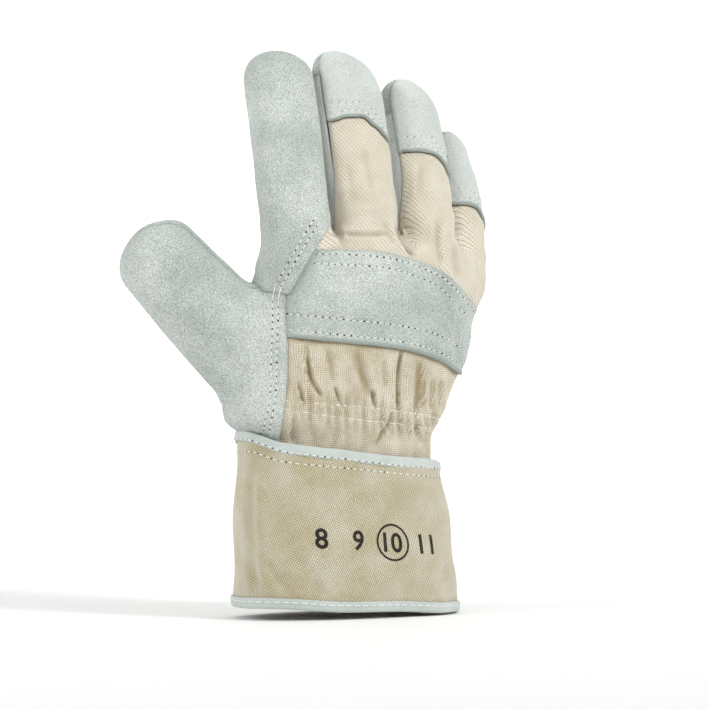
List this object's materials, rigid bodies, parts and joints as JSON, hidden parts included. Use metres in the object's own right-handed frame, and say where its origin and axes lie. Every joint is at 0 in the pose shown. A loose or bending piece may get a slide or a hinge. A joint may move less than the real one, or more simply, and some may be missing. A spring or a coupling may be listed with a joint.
{
  "type": "leather work glove",
  "caption": "Right-hand rigger work glove of grey split leather and beige cotton drill, with a knuckle strap, leather fingertip caps and a flared canvas cuff.",
  "frame": {"origin": "middle of the hem's opening at the cuff's lower edge, where the hand goes in", "axes": "+Z from the hem to the fingertips, +X from the thumb side to the little finger's side, +Y out of the palm, so the back of the hand faces -Y"},
  "size_m": [0.1903, 0.0702, 0.271],
  "materials": {
    "split_leather": "split leather with a suede nap, pale grey-green",
    "cotton_drill": "beige cotton drill, diagonal weave",
    "cuff_canvas": "stiffened beige cotton canvas, plain weave",
    "binding_tape": "white woven binding tape"
  },
  "bodies": {
    "root": {"palm_leather": "split_leather", "middle_front_leather": "split_leather", "ring_front_leather": "split_leather", "index_leather": "split_leather", "thumb_back_leather": "split_leather", "thumb_front_leather": "split_leather", "side_strip_index_middle": "split_leather", "side_strip_middle_ring": "split_leather", "side_strip_ring_little": "split_leather", "back_upper_cotton": "cotton_drill", "back_lower_cotton": "cotton_drill", "knuckle_strap": "split_leather", "fingertip_cap_middle": "split_leather", "fingertip_cap_ring": "split_leather", "fingertip_cap_little": "split_leather", "cuff": "cuff_canvas", "cuff_top_binding": "binding_tape", "cuff_hem_binding": "binding_tape"}
  },
  "joints": []
}
